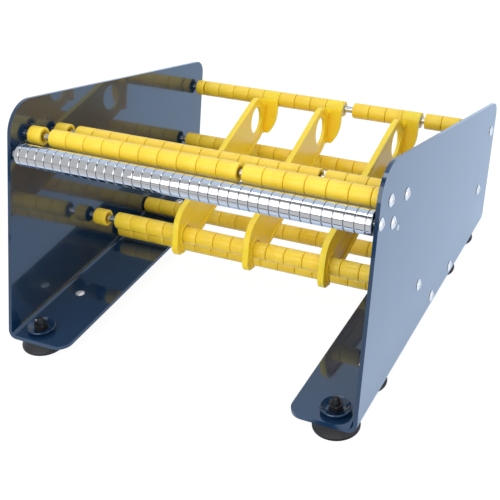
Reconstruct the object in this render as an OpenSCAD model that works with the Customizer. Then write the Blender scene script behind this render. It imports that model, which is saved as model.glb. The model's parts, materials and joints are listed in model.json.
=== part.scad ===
// Label dispenser for the counter: two folded side plates joined by seven shafts of
// loose plastic rings, a grooved peel roller at the front, three roll guides and eight
// rubber feet. It stands on its feet: X runs from left to right, Y from front to back
// and Z up, with the origin on the table under its middle.

/* [Side plates] */
// Clear width between the side plates
inner_w = 300; // [270:1:420]
// Thickness of the folded sheet
sheet_t = 3; // [2:0.5:4]
// Length of the sloping top edge
top_len = 310; // [290:1:360]
// Length of the front edge
front_len = 196; // [186:1:206]
// Slope of the top edge, down towards the back
tilt = 14.8; // [10:0.1:18]
// Corner radius at the front of the top edge
front_corner_r = 26; // [8:1:30]
// Corner radius at the back of the top edge
back_corner_r = 12; // [4:1:16]
// Width of the foot flange, from the outer face
flange_w = 55; // [48:1:70]
// Corner radius of the foot flange
flange_corner_r = 12; // [3:1:18]
// Inner radius of the fold
fold_r = 4; // [2:0.5:5]

/* [Shafts] */
// Diameter of the ring shafts
shaft_d = 6; // [5.5:0.1:7]
// Upper front shaft: distance behind the front edge
nip_back = 21.8; // [19:0.1:26]
// Upper front shaft: depth below the top edge
nip_down = 27.8; // [20:0.1:29]
// Second shaft: distance behind the front edge
second_back = 57.4; // [50:0.1:64]
// Second shaft: depth below the top edge
second_down = 31; // [20:0.1:38]
// Rear top shaft: distance ahead of the back edge
rear_top_in = 12.9; // [10:0.1:20]
// Rear top shaft: depth below the top edge
rear_top_down = 24.8; // [22:0.1:30]
// Rear middle shaft: distance ahead of the back edge
rear_mid_in = 32.6; // [22:0.1:45]
// Rear middle shaft: depth below the top edge
rear_mid_down = 75.3; // [72:0.1:80]
// Rear bottom shaft: distance ahead of the back edge
rear_low_in = 102.3; // [90:0.1:112]
// Rear bottom shaft: height above the bottom edge
rear_low_up = 13; // [12.5:0.1:22]
// Front lower shaft: distance behind the front edge
front_low_back = 116.4; // [112:0.1:122]
// Front lower shaft: height above the bottom edge
front_low_up = 47.7; // [42:0.1:54]
// Bottom shaft: its place between the front lower and the rear bottom shaft, as a share
bottom_share = 0.469; // [0.4:0.001:0.6]
// Bottom shaft: height above the bottom edge
bottom_up = 13.6; // [12.5:0.1:22]

/* [Rings] */
// Outer diameter of a ring
ring_d = 14.5; // [12:0.1:15]
// Width of a ring
ring_w = 16; // [12:0.1:18]
// Width of the single ring at the left of a row
left_ring_w = 12; // [8:0.1:16]
// Width of a narrow end ring
end_ring_w = 8; // [4:0.1:10]
// Rounding of a ring's edges
ring_edge_r = 0.7; // [0.3:0.1:1.2]
// Diameter of the recess in a ring's ends
ring_recess_d = 9.6; // [8:0.1:10.4]
// Depth of the recess in a ring's ends
ring_recess = 2.5; // [1:0.1:3]
// Play between two rings
ring_play = 0.4; // [0.2:0.05:0.8]
// Radial play of a ring on its shaft
ring_slack = 0.1; // [0.05:0.05:0.5]

/* [Ring rows] */
// Upper front row: distance of its left ring from the left plate
nip_start = 4.4; // [1:0.1:9]
// Upper front row: bare shaft after its left ring
nip_left_gap = 8.1; // [1:0.1:11]
// Upper front row: rings in the main run
nip_main_count = 10; // [2:1:14]
// Upper front row: bare shaft after the main run
nip_gap = 4.3; // [1:0.1:8]
// Second row: distance of its left ring from the left plate
second_start = 3.8; // [1:0.1:9]
// Second row: bare shaft after its left ring
second_left_gap = 8.2; // [1:0.1:11]
// Second row: rings in the main run
second_main_count = 13; // [2:1:14]
// Second row: bare shaft after the main run
second_gap = 4.8; // [1:0.1:8]
// Front lower row: distance of its left ring from the left plate
front_low_start = 4; // [1:0.1:9]
// Front lower row: bare shaft after its left ring
front_low_left_gap = 10.2; // [1:0.1:12]
// Rear middle row: distance of its first ring from the left plate
rear_mid_start = 4.6; // [1:0.1:10]
// Rear bottom row: distance of its first ring from the left plate
rear_low_start = 1.4; // [1:0.1:3]
// Bottom row: distance of its first ring from the left plate
bottom_start = 3; // [1:0.1:4]
// Rear top row: distance of its narrow left ring from the left plate
rear_top_start = 3.6; // [1:0.1:6]
// Rear top row: bare shaft after its narrow left ring
rear_top_left_gap = 1.2; // [0.2:0.1:4]
// Rear top row: rings left of the left guide
guide_1_rings = 4; // [1:1:5]
// Rear top row: rings between two guides
between_rings = 3; // [1:1:4]

/* [Peel roller] */
// Distance of the peel roller's axis behind the front edge
peel_back = 5.2; // [4:0.1:8]
// Depth of the peel roller's axis below the top edge
peel_down = 40.7; // [38:0.1:46]
// Diameter of the peel roller
peel_d = 18; // [14:0.1:19]
// Distance between two grooves
groove_pitch = 7.9; // [5:0.05:12]
// Distance of the last groove from the right plate
groove_in = 5.2; // [4:0.1:8]
// Width of a groove
groove_w = 1.2; // [0.6:0.1:1.6]
// Depth of a groove
groove_deep = 0.8; // [0.3:0.1:1.2]
// Diameter of the neck at the left end
neck_d = 9; // [8:0.1:11]
// Length of the neck at the left end
neck_len = 4.3; // [3:0.1:9]
// End play between the roller and a side plate
peel_play = 1.2; // [0.6:0.1:2]
// Radial play of the roller on its shaft
peel_slack = 0.08; // [0.05:0.01:0.1]

/* [Tie bar and web rod] */
// Distance of the tie bar's middle behind the front edge
bar_back = 31.7; // [29:0.1:35]
// Depth of the tie bar's middle below the top edge
bar_down = 46; // [45:0.1:50]
// Thickness of the tie bar
bar_t = 8; // [6:0.1:9]
// Height of the tie bar
bar_h = 15; // [12:0.1:20]
// Distance of the web rod behind the front edge
rod_back = 45.5; // [42:0.1:50]
// Depth of the web rod below the top edge
rod_down = 53.1; // [50:0.1:60]
// Diameter of the web rod
rod_d = 6; // [4:0.1:8]

/* [Roll guides] */
// Bare shaft on which the middle guide slides
guide_2_gap = 9.8; // [2:0.1:14]
// Bare shaft on which the right guide slides
guide_3_gap = 4.4; // [1:0.1:8]
// Sideways lean of the left guide
guide_1_angle = 3.85; // [0:0.05:4.5]
// Sideways lean of the middle guide
guide_2_angle = 3.85; // [0:0.05:4.5]
// Sideways lean of the right guide
guide_3_angle = 1.4; // [0:0.05:4.5]
// Width of a guide's hub on the rear top shaft
hub_w = 17; // [12:0.1:20]
// Thickness of a guide's arm
arm_t = 3.2; // [2.5:0.1:4]
// Thickness of the rim round the arm
rim_t = 5; // [4.2:0.1:6]
// Width of the rim round the arm
rim_w = 3.4; // [2.5:0.1:4.5]
// Height of the arm's middle line above the front lower shaft
arm_rise = 5; // [3:0.1:8]
// Radius of the arm's round end, half of the arm's width
lobe_r = 21.5; // [19:0.1:23]
// Radius of the finger hole
finger_r = 13; // [10:0.1:14]
// Distance of the finger hole ahead of the rear top shaft
finger_ahead = 31; // [29:0.1:34]
// Depth of the finger hole below the rear top shaft
finger_below = 17.9; // [15:0.1:20]
// Radius at the front of the arm's upper edge
nose_r = 22; // [14:0.5:24]
// Reach of the hook ahead of the front lower shaft
hook_ahead = 19; // [17:0.1:22]
// Reach of the hook below the front lower shaft
hook_below = 15.3; // [13:0.1:17]
// Radius at the tip of the hook
hook_tip_r = 9; // [5:0.5:10]
// Play between the hook and the rings it rests on
hook_play = 0.8; // [0.6:0.05:1.2]
// Height of the tab that hangs from the hub
tab_h = 33; // [28:0.1:36]
// Thickness of the tab
tab_t = 3.6; // [3:0.1:4.5]
// Radius of the tab's outer edge
tab_edge_r = 34; // [24:1:50]
// Outer diameter of the bush inside a hub
bush_d = 9.4; // [8.4:0.1:10]
// Radial play of a hub on its bush
hub_slack = 0.08; // [0.05:0.01:0.1]

/* [Screws] */
// Thread diameter of the shaft screws
screw_d = 4; // [3:0.1:4.6]
// Head diameter of the shaft screws
screw_head_d = 9.5; // [7:0.1:11]
// Head height of the shaft screws
screw_head_h = 3; // [2:0.1:4]
// Length of the shaft screws under the head
screw_len = 14; // [9:0.5:20]
// Width of the hexagon socket in a screw head
socket_w = 3.2; // [2:0.1:4]
// Radial play of a screw in a plain hole
hole_play = 0.3; // [0.2:0.05:0.5]
// Radial play of a screw in its thread
thread_play = 0.05; // [0.02:0.01:0.1]

/* [Feet] */
// Height of a foot
foot_h = 11.5; // [8:0.1:16]
// Diameter of a foot at the table
foot_d = 36; // [30:0.5:40]
// Diameter of a foot under the flange
foot_top_d = 30; // [24:0.5:34]
// Height of a foot's straight lower rim
foot_rim_h = 2.9; // [1.5:0.1:4]
// Bevel on a foot's edges
foot_edge = 1; // [0.5:0.1:1.2]
// Distance of the feet from the outer face
foot_in = 22; // [20:0.1:26]
// Distance of the end feet from the flange's ends
end_foot_in = 16.5; // [16:0.1:24]
// Distance of the inner feet from the flange's ends
mid_foot_in = 73; // [64:0.5:84]
// Height of the studs' heads and the screws' tips above the table
stud_base = 3.5; // [2:0.1:4]
// Diameter of the studs in the end feet
stud_d = 6; // [5:0.1:8]
// Diameter of a stud's head inside the foot
stud_head_d = 12; // [10:0.1:16]
// Height of a stud's head
stud_head_h = 3; // [2:0.1:3.5]
// Height of a stud above the flange
stud_up = 12; // [11:0.5:20]
// Width of a stud's nut across its flats
nut_w = 10; // [9.5:0.1:13]
// Height of a stud's nut
nut_h = 5; // [4:0.1:7]
// Diameter of the cup washer under a nut
cup_d = 24; // [21:0.1:26]
// Height of the cup washer
cup_h = 4.2; // [2.5:0.1:4.6]
// Wall thickness of the cup washer
cup_t = 1.2; // [0.8:0.1:1.6]
// Diameter of the screws in the inner feet
foot_screw_d = 4; // [3:0.1:5]
// Head diameter of the screws in the inner feet
foot_screw_head_d = 8; // [6:0.1:10]
// Head height of the screws in the inner feet
foot_screw_head_h = 2; // [1.4:0.1:3]

/* [Hidden] */
$fn = 64;
// Overrun of every cut past the surface it cuts
over = 1;
// Depth to which two shapes of one solid run into each other
bite = 1.5;
// Segments of a round corner in an outline
arc_steps = 16;
// Segments of a ring's rounded edge
edge_steps = 3;

ring_r = ring_d / 2;
shaft_r = shaft_d / 2;
ring_bore_r = shaft_r + ring_slack;
ring_pitch = ring_w + ring_play;
outer_w = inner_w + 2 * sheet_t;

// The table's frame: the flange stands on the feet, and the front edge leans back
ft_y = front_len * sin(tilt);
ft_z = foot_h + front_len * cos(tilt);
back_len = front_len - top_len * tan(tilt);
flange_len = top_len / cos(tilt);
front_y = min(0, end_foot_in - foot_d / 2);
back_y = ft_y + (top_len - back_corner_r) * cos(tilt) - back_corner_r * sin(tilt) + back_corner_r;
mid_y = (front_y + back_y) / 2;

// A place on a side plate: distance behind the front edge, and minus the depth below
// the top edge. The second form takes a height above the bottom edge.
function from_top(back, down) = [back, -down];
function from_bottom(back, up) = [back, back * tan(tilt) + up - front_len];

NIP = from_top(nip_back, nip_down);
SECOND = from_top(second_back, second_down);
REAR_TOP = from_top(top_len - rear_top_in, rear_top_down);
REAR_MID = from_top(top_len - rear_mid_in, rear_mid_down);
REAR_LOW = from_bottom(top_len - rear_low_in, rear_low_up);
FRONT_LOW = from_bottom(front_low_back, front_low_up);
BOTTOM = from_bottom(FRONT_LOW.x + bottom_share * (REAR_LOW.x - FRONT_LOW.x), bottom_up);
PEEL = from_top(peel_back, peel_down);
BAR = from_top(bar_back, bar_down);
ROD = from_top(rod_back, rod_down);
SCREWED = [NIP, SECOND, REAR_TOP, REAR_MID, REAR_LOW, FRONT_LOW, BOTTOM, PEEL, BAR];
END_FEET = [end_foot_in, flange_len - end_foot_in];
MID_FEET = [mid_foot_in, flange_len - mid_foot_in];

// Where each run of rings starts, from the left plate
nip_main_start = nip_start + left_ring_w + nip_left_gap;
nip_right_start = nip_main_start + run_len(nip_main_count) + nip_gap;
second_main_start = second_start + left_ring_w + second_left_gap;
second_right_start = second_main_start + run_len(second_main_count) + second_gap;
front_low_main_start = front_low_start + left_ring_w + front_low_left_gap;
rear_top_1_start = rear_top_start + end_ring_w + rear_top_left_gap;
guide_1_start = rear_top_1_start + guide_1_rings * ring_pitch;
rear_top_2_start = guide_1_start + hub_w + ring_play;
guide_2_start = rear_top_2_start + between_rings * ring_pitch;
rear_top_3_start = guide_2_start + hub_w + guide_2_gap;
guide_3_start = rear_top_3_start + between_rings * ring_pitch;
rear_top_4_start = guide_3_start + hub_w + guide_3_gap;

// Length of a run of rings, and how many rings fit from a start to the right plate
function run_len(count) = count * ring_pitch - ring_play;
function fitting(start, end_w = 0) = floor((inner_w - start - end_w) / ring_pitch);

// A guide's own frame has its origin on the rear top shaft
HOOK = FRONT_LOW - REAR_TOP;
FINGER = [-finger_ahead, -finger_below];
arm_drop = atan2(FINGER.y - HOOK.y - arm_rise, FINGER.x - HOOK.x);

// Points of a round corner, from angle a0 to a1 round the centre c
function arc(c, r, a0, a1, steps = arc_steps) =
    [for (i = [0:steps]) let (t = a0 + (a1 - a0) * i / steps) c + r * [cos(t), sin(t)]];

// The frame of the sloping side plates: Y runs back along the top edge, from the front
// corner, and X starts at the inner face of the left plate
module sloped() {
    translate([-inner_w / 2, ft_y - mid_y, ft_z]) rotate([-tilt, 0, 0]) children();
}

// A cylinder's place on the side plates, at x from the left plate and pointing along X
module spot(p, x = 0) {
    sloped() translate([x, p.x, p.y]) rotate([0, 90, 0]) children();
}

// A shape drawn in Y and Z, made thick along X
module along_x(len) {
    rotate([90, 0, 90]) linear_extrude(len) children();
}

module at_feet(places, z) {
    for (y = places) translate([-outer_w / 2 + foot_in, y - mid_y, z]) children();
}

module both_sides() {
    children();
    mirror([1, 0, 0]) children();
}

// Side plates: one folded sheet each

module side_outline() {
    polygon(concat(
        arc([front_corner_r, -front_corner_r], front_corner_r, 180, 90),
        arc([top_len - back_corner_r, -back_corner_r], back_corner_r, 90, 0),
        [[top_len, -back_len], [0, -front_len]]));
}

// Section of the sheet: the upright wall, the fold and the foot flange
module fold_section() {
    r_out = fold_r + sheet_t;
    translate([0, r_out]) square([sheet_t, front_len]);
    translate([r_out, 0]) square([flange_w - r_out, sheet_t]);
    intersection() {
        square(r_out);
        translate([r_out, r_out]) difference() {
            circle(r_out);
            circle(fold_r);
        }
    }
}

// Plan of the foot flange, with its inner corners rounded
module flange_outline() {
    r = flange_corner_r;
    polygon(concat(
        [[0, 0]],
        arc([flange_w - r, r], r, -90, 0),
        arc([flange_w - r, flange_len - r], r, 0, 90),
        [[0, flange_len]]));
}

// The folded sheet with its outer face at X = 0 and its flange on Z = 0
module folded_sheet() {
    fold_top = sheet_t + fold_r + over;
    intersection() {
        translate([0, flange_len + top_len, 0]) rotate([90, 0, 0])
            linear_extrude(flange_len + 2 * top_len) fold_section();
        translate([0, ft_y, ft_z - foot_h]) rotate([-tilt, 0, 0]) along_x(flange_w) side_outline();
        union() {
            linear_extrude(fold_top) flange_outline();
            translate([0, -top_len, fold_top]) cube([flange_w, flange_len + 2 * top_len, front_len]);
        }
    }
}

module side_plate() {
    depth = sheet_t + 2 * over;
    difference() {
        translate([-outer_w / 2, -mid_y, foot_h]) folded_sheet();
        for (p = SCREWED) spot(p, -sheet_t - over) cylinder(h = depth, r = screw_d / 2 + hole_play);
        spot(ROD, -sheet_t - over) cylinder(h = depth, r = rod_d / 2 + thread_play);
        at_feet(END_FEET, foot_h - over) cylinder(h = depth, r = stud_d / 2 + hole_play);
        at_feet(MID_FEET, foot_h - over) cylinder(h = depth, r = foot_screw_d / 2 + hole_play);
    }
}

module left_side_plate() { color("midnightblue") side_plate(); }
module right_side_plate() { color("midnightblue") mirror([1, 0, 0]) side_plate(); }

// Shafts: plain rods between the plates, tapped at both ends

module tapped_ends(p) {
    for (x = [-over, inner_w - screw_len])
        spot(p, x) cylinder(h = screw_len + over, r = screw_d / 2 + thread_play);
}

module shaft(p) {
    color("silver") difference() {
        spot(p) cylinder(h = inner_w, r = shaft_r);
        tapped_ends(p);
    }
}

// Rings: loose tubes with rounded edges and a recess in both ends

module ring(w) {
    e = ring_edge_r;
    recess_r = ring_recess_d / 2;
    rotate_extrude() polygon(concat(
        [[ring_bore_r, ring_recess], [recess_r, ring_recess], [recess_r, 0]],
        arc([ring_r - e, e], e, -90, 0, edge_steps),
        arc([ring_r - e, w - e], e, 0, 90, edge_steps),
        [[recess_r, w], [recess_r, w - ring_recess], [ring_bore_r, w - ring_recess]]));
}

module ring_run(p, start, count, w = ring_w) {
    color("gold") for (i = [0:count - 1]) spot(p, start + i * ring_pitch) ring(w);
}

// A run up to the right plate, which a narrow ring ends
module closed_run(p, start) {
    count = fitting(start, end_ring_w);
    ring_run(p, start, count);
    ring_run(p, start + count * ring_pitch, 1, end_ring_w);
}

// Peel roller: a chromed tube with narrow grooves and a thinner neck at the left

module peel_roller() {
    r = peel_d / 2;
    bore_r = shaft_r + peel_slack;
    body_start = peel_play + neck_len;
    body_end = inner_w - peel_play;
    last = inner_w - groove_in;
    count = floor((last - body_start - groove_deep - groove_w) / groove_pitch) + 1;
    first = last - (count - 1) * groove_pitch;
    color("gainsboro") spot(PEEL) rotate_extrude() polygon(concat(
        [[bore_r, peel_play], [neck_d / 2, peel_play], [neck_d / 2, body_start],
            [r - groove_deep, body_start], [r, body_start + groove_deep]],
        [for (i = [0:count - 1]) let (x = first + i * groove_pitch)
            each [[r, x - groove_w / 2], [r - groove_deep, x], [r, x + groove_w / 2]]],
        [[r, body_end - groove_deep], [r - groove_deep, body_end], [bore_r, body_end]]));
}

// Tie bar and web rod under the upper rollers

module tie_bar() {
    color("lightsteelblue") difference() {
        sloped() translate([0, bar_back - bar_t / 2, -bar_down - bar_h / 2]) cube([inner_w, bar_t, bar_h]);
        tapped_ends(BAR);
    }
}

module web_rod() {
    color("silver") spot(ROD, -sheet_t) cylinder(h = outer_w, r = rod_d / 2);
}

// Screws: low round heads with a hexagon socket, seated on the outer faces

module screw_head(d, h) {
    sphere_r = (d * d / 4 + h * h) / (2 * h);
    intersection() {
        translate([0, 0, h - sphere_r]) sphere(sphere_r);
        cylinder(h = h, r = d / 2);
    }
}

module shaft_screw() {
    difference() {
        union() {
            screw_head(screw_head_d, screw_head_h);
            translate([0, 0, -screw_len]) cylinder(h = screw_len + bite, r = screw_d / 2);
        }
        translate([0, 0, screw_head_h / 2]) cylinder(h = screw_head_h, r = socket_w / sqrt(3), $fn = 6);
    }
}

module left_shaft_screws() {
    color("whitesmoke") for (p = SCREWED) spot(p, -sheet_t) mirror([0, 0, 1]) shaft_screw();
}

module right_shaft_screws() { mirror([1, 0, 0]) left_shaft_screws(); }

// Roll guides: an arm with a finger hole, a hub on the rear top shaft, and a hook
// that rests on the rings of the front lower shaft

module arm_outline(inset = 0) {
    r = lobe_r - inset;
    up = [-sin(arm_drop), cos(arm_drop)];
    front = HOOK.x - hook_ahead + inset;
    bottom = HOOK.y - hook_below + inset;
    nose = nose_r - inset;
    nose_z = FINGER.y + (r - nose - (front + nose - FINGER.x) * up.x) / up.y;
    tip = hook_tip_r - inset;
    low = FINGER - r * up;
    heel_y = HOOK.x + ring_r + hook_below;
    difference() {
        union() {
            translate(FINGER) circle(r);
            polygon(concat(
                [FINGER + r * up],
                arc([front + nose, nose_z], nose, 90 + arm_drop, 180),
                arc([front + tip, bottom + tip], tip, 180, 270),
                [[HOOK.x + ring_r, bottom], [heel_y, low.y - (low.x - heel_y) * tan(arm_drop)], low]));
        }
        notch(ring_r + hook_play + inset);
    }
    translate([FINGER.x, -tab_h + inset])
        square([finger_ahead - ring_r, tab_h - ring_r / 2 - 2 * inset]);
}

// The notch over the rings: it follows the arc on which the hook swings round the hub
module notch(half_w) {
    swing_r = norm(HOOK);
    translate(HOOK) circle(half_w);
    intersection() {
        difference() {
            circle(swing_r + half_w);
            circle(swing_r - half_w);
        }
        rotate(atan2(HOOK.y, HOOK.x)) translate([swing_r - 2 * half_w, 0])
            square([4 * half_w, 2 * hook_below]);
    }
}

module tab() {
    bend_z = -tab_h / 3;
    translate([0, bite - ring_r, 0]) rotate([90, 0, 0]) linear_extrude(tab_t) intersection() {
        translate([0, -tab_h]) square([hub_w, tab_h]);
        union() {
            translate([0, bend_z]) square([hub_w, -bend_z]);
            translate([hub_w - tab_edge_r, bend_z]) circle(tab_edge_r);
        }
    }
}

module arm() {
    difference() {
        union() {
            translate([(rim_t - arm_t) / 2, 0, 0]) along_x(arm_t) arm_outline();
            along_x(rim_t) difference() {
                arm_outline();
                arm_outline(rim_w);
            }
        }
        translate([-over, FINGER.x, FINGER.y]) rotate([0, 90, 0])
            cylinder(h = rim_t + 2 * over, r = finger_r);
    }
}

module guide(start, angle) {
    color("gold") sloped() translate([start, REAR_TOP.x, REAR_TOP.y]) difference() {
        union() {
            rotate([0, 90, 0]) cylinder(h = hub_w, r = ring_r);
            tab();
            rotate([0, 0, angle]) arm();
        }
        translate([-over, 0, 0]) rotate([0, 90, 0]) cylinder(h = hub_w + 2 * over, r = bush_d / 2 + hub_slack);
    }
}

module guide_bush(start) {
    color("khaki") spot(REAR_TOP, start) difference() {
        cylinder(h = hub_w, r = bush_d / 2);
        translate([0, 0, -over]) cylinder(h = hub_w + 2 * over, r = ring_bore_r);
    }
}

// Feet: rubber pads under the flanges. The end ones are moulded round their studs,
// and screws from above hold the inner ones.

module foot(side, y) {
    color("black") translate([side * (outer_w / 2 - foot_in), y - mid_y, 0]) difference() {
        rotate_extrude() polygon([[0, 0], [foot_d / 2 - foot_edge, 0], [foot_d / 2, foot_edge],
            [foot_d / 2, foot_rim_h], [foot_top_d / 2, foot_h - foot_edge],
            [foot_top_d / 2 - foot_edge, foot_h], [0, foot_h]]);
        children();
    }
}

module stud_foot(side, y) {
    foot(side, y) {
        foot_bore(stud_d / 2);
        translate([0, 0, stud_base - thread_play])
            cylinder(h = stud_head_h + 2 * thread_play, r = stud_head_d / 2 + thread_play);
    }
}

module screw_foot(side, y) {
    foot(side, y) foot_bore(foot_screw_d / 2);
}

module foot_bore(r) {
    translate([0, 0, stud_base - thread_play]) cylinder(h = foot_h - stud_base + over, r = r + thread_play);
}

module foot_studs() {
    color("black") both_sides() at_feet(END_FEET, stud_base) {
        cylinder(h = stud_head_h, r = stud_head_d / 2);
        cylinder(h = foot_h + sheet_t + stud_up - stud_base, r = stud_d / 2);
    }
}

module foot_nuts() {
    color("black") both_sides() at_feet(END_FEET, foot_h + sheet_t + cup_t) difference() {
        cylinder(h = nut_h, r = nut_w / sqrt(3), $fn = 6);
        translate([0, 0, -over]) cylinder(h = nut_h + 2 * over, r = stud_d / 2 + thread_play);
    }
}

module foot_cup_washers() {
    hole_r = stud_d / 2 + hole_play;
    r = cup_d / 2;
    color("midnightblue") both_sides() at_feet(END_FEET, foot_h + sheet_t)
        rotate_extrude() polygon([[hole_r, 0], [r - cup_h, 0], [r, cup_h - cup_t], [r, cup_h],
            [r - cup_t, cup_h], [r - cup_h - cup_t / 2, cup_t], [hole_r, cup_t]]);
}

module foot_screws() {
    len = foot_h + sheet_t - stud_base;
    color("silver") both_sides() at_feet(MID_FEET, foot_h + sheet_t) {
        screw_head(foot_screw_head_d, foot_screw_head_h);
        translate([0, 0, -len]) cylinder(h = len + foot_screw_head_h / 2, r = foot_screw_d / 2);
    }
}

left_side_plate();
right_side_plate();
shaft(NIP);  // upper_front_shaft
shaft(SECOND);  // second_shaft
shaft(REAR_TOP);  // rear_top_shaft
shaft(REAR_MID);  // rear_middle_shaft
shaft(REAR_LOW);  // rear_bottom_shaft
shaft(FRONT_LOW);  // front_lower_shaft
shaft(BOTTOM);  // bottom_shaft
shaft(PEEL);  // peel_shaft
peel_roller();
tie_bar();
web_rod();
left_shaft_screws();
right_shaft_screws();
ring_run(NIP, nip_start, 1, left_ring_w);  // upper_front_ring_left
ring_run(NIP, nip_main_start, nip_main_count);  // upper_front_rings_main
closed_run(NIP, nip_right_start);  // upper_front_rings_right
ring_run(SECOND, second_start, 1, left_ring_w);  // second_ring_left
ring_run(SECOND, second_main_start, second_main_count);  // second_rings_main
ring_run(SECOND, second_right_start, fitting(second_right_start));  // second_rings_right
union() {  // rear_top_rings_1
    ring_run(REAR_TOP, rear_top_start, 1, end_ring_w);
    ring_run(REAR_TOP, rear_top_1_start, guide_1_rings);
}
ring_run(REAR_TOP, rear_top_2_start, between_rings);  // rear_top_rings_2
ring_run(REAR_TOP, rear_top_3_start, between_rings);  // rear_top_rings_3
closed_run(REAR_TOP, rear_top_4_start);  // rear_top_rings_4
ring_run(REAR_MID, rear_mid_start, fitting(rear_mid_start, ring_pitch));  // rear_middle_rings
ring_run(REAR_LOW, rear_low_start, fitting(rear_low_start));  // rear_bottom_rings
ring_run(FRONT_LOW, front_low_start, 1, left_ring_w);  // front_lower_ring_left
closed_run(FRONT_LOW, front_low_main_start);  // front_lower_rings_main
ring_run(BOTTOM, bottom_start, fitting(bottom_start));  // bottom_rings
guide_bush(guide_1_start);  // guide_1_bush
guide_bush(guide_2_start);  // guide_2_bush
guide_bush(guide_3_start);  // guide_3_bush
guide(guide_1_start, guide_1_angle);  // guide_1
guide(guide_2_start, guide_2_angle);  // guide_2
guide(guide_3_start, guide_3_angle);  // guide_3
stud_foot(-1, END_FEET[0]);  // left_front_foot
screw_foot(-1, MID_FEET[0]);  // left_front_middle_foot
screw_foot(-1, MID_FEET[1]);  // left_rear_middle_foot
stud_foot(-1, END_FEET[1]);  // left_rear_foot
stud_foot(1, END_FEET[0]);  // right_front_foot
screw_foot(1, MID_FEET[0]);  // right_front_middle_foot
screw_foot(1, MID_FEET[1]);  // right_rear_middle_foot
stud_foot(1, END_FEET[1]);  // right_rear_foot
foot_studs();
foot_nuts();
foot_cup_washers();
foot_screws();
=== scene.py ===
# %% [markdown]
# # A label dispenser, dressed piece by piece
#
# Rolls of labels lie between two painted side plates, on rows of loose yellow rings. The
# web of labels runs forward over a grooved chrome roller. The CAD model gives every size
# and joint. This file keeps those places and gives each piece the edges, threads and
# finish that make it look real.

# %% Load the CAD model
from math import cos, pi, radians, sin, tan

import bmesh
import bpy
from mathutils import Euler, Matrix, Vector
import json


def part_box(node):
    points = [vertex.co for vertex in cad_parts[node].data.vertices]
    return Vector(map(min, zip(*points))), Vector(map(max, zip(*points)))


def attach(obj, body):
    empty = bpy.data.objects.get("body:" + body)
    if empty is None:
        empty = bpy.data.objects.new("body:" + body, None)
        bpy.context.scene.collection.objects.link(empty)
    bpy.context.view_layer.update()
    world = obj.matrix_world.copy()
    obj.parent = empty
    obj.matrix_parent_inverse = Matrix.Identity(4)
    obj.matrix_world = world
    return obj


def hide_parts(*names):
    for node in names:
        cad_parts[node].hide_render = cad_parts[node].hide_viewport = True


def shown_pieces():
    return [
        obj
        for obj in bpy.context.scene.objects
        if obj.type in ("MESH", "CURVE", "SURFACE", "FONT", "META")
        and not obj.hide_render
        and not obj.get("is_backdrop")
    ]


MM = 0.001
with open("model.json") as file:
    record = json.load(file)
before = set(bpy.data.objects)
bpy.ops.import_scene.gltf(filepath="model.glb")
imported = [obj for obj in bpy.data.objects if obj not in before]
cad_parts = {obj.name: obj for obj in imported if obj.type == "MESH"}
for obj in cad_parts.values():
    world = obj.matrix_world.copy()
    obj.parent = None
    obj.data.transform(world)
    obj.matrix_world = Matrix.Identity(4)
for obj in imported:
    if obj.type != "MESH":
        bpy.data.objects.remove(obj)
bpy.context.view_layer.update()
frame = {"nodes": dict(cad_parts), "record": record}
record = frame["record"]
scene = bpy.context.scene
scene.view_settings.view_transform = "Standard"


# %% [markdown]
# ## The camera
#
# The photograph was taken from the front right, looking down by about 32 degrees. The
# camera comes first, because every later choice is judged through it. Its place was
# worked out from the corners of the two plates, and the slight roll is in its turn.

# %% Camera
camera_place = (359.02, -703.82, 519.46)
camera_turn = (58.2975, 2.8710, 26.2237)
camera_data = bpy.data.cameras.new("photo_camera")
camera_data.lens = 75.95
camera_data.sensor_width = 36
camera = bpy.data.objects.new("photo_camera", camera_data)
camera.location = Vector(camera_place) * MM
camera.rotation_euler = Euler([radians(angle) for angle in camera_turn])
scene.collection.objects.link(camera)
scene.camera = camera
print("camera", round(camera.location.length, 3), "m from the origin")

# %% [markdown]
# ## Looking up where things go
#
# A row of rings is one CAD node with many loose solids in it. A merged copy of its mesh
# tells them apart: whatever hangs together is one solid. Its box then says where a ring,
# screw or nut sits, so nothing here has to be measured twice.

# %% Merged copies and the solids in them
cad_weld = 0.001 * MM
fine_weld = 0.0005 * MM


def merged(node):
    """A copy of a CAD node's mesh in which touching points are one point."""
    bm = bmesh.new()
    bm.from_mesh(frame["nodes"][node].data)
    bmesh.ops.remove_doubles(bm, verts=bm.verts, dist=cad_weld)
    return bm


def solids(node):
    """The two corners of each solid's box, from left to right."""
    bm = merged(node)
    boxes = []
    left = set(bm.verts)
    while left:
        newest = [left.pop()]
        group = newest
        while newest:
            near = {e.other_vert(v) for v in newest for e in v.link_edges} & left
            left -= near
            newest = list(near)
            group = group + newest
        low = Vector([min(v.co[i] for v in group) for i in range(3)])
        high = Vector([max(v.co[i] for v in group) for i in range(3)])
        boxes.append((low, high))
    bm.free()
    return sorted(boxes, key=lambda box: (round(box[0].x, 5), box[0].y))


slot_of = {part["node"]: part["material_slot"] for part in record["subparts"]}
body_of = {n: body for body, nodes in record["behaviour"]["bodies"].items() for n in nodes}
finishes = {}
print("rings in the rear top runs:", [len(solids(f"rear_top_rings_{i}")) for i in (1, 2, 3, 4)])

# %% [markdown]
# ## From bmesh to a finished piece
#
# Every piece ends the same way: its faces are turned outwards, it is shaded smooth up to
# a crease angle, and it takes over from its CAD node, body and material slot together.

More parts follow.
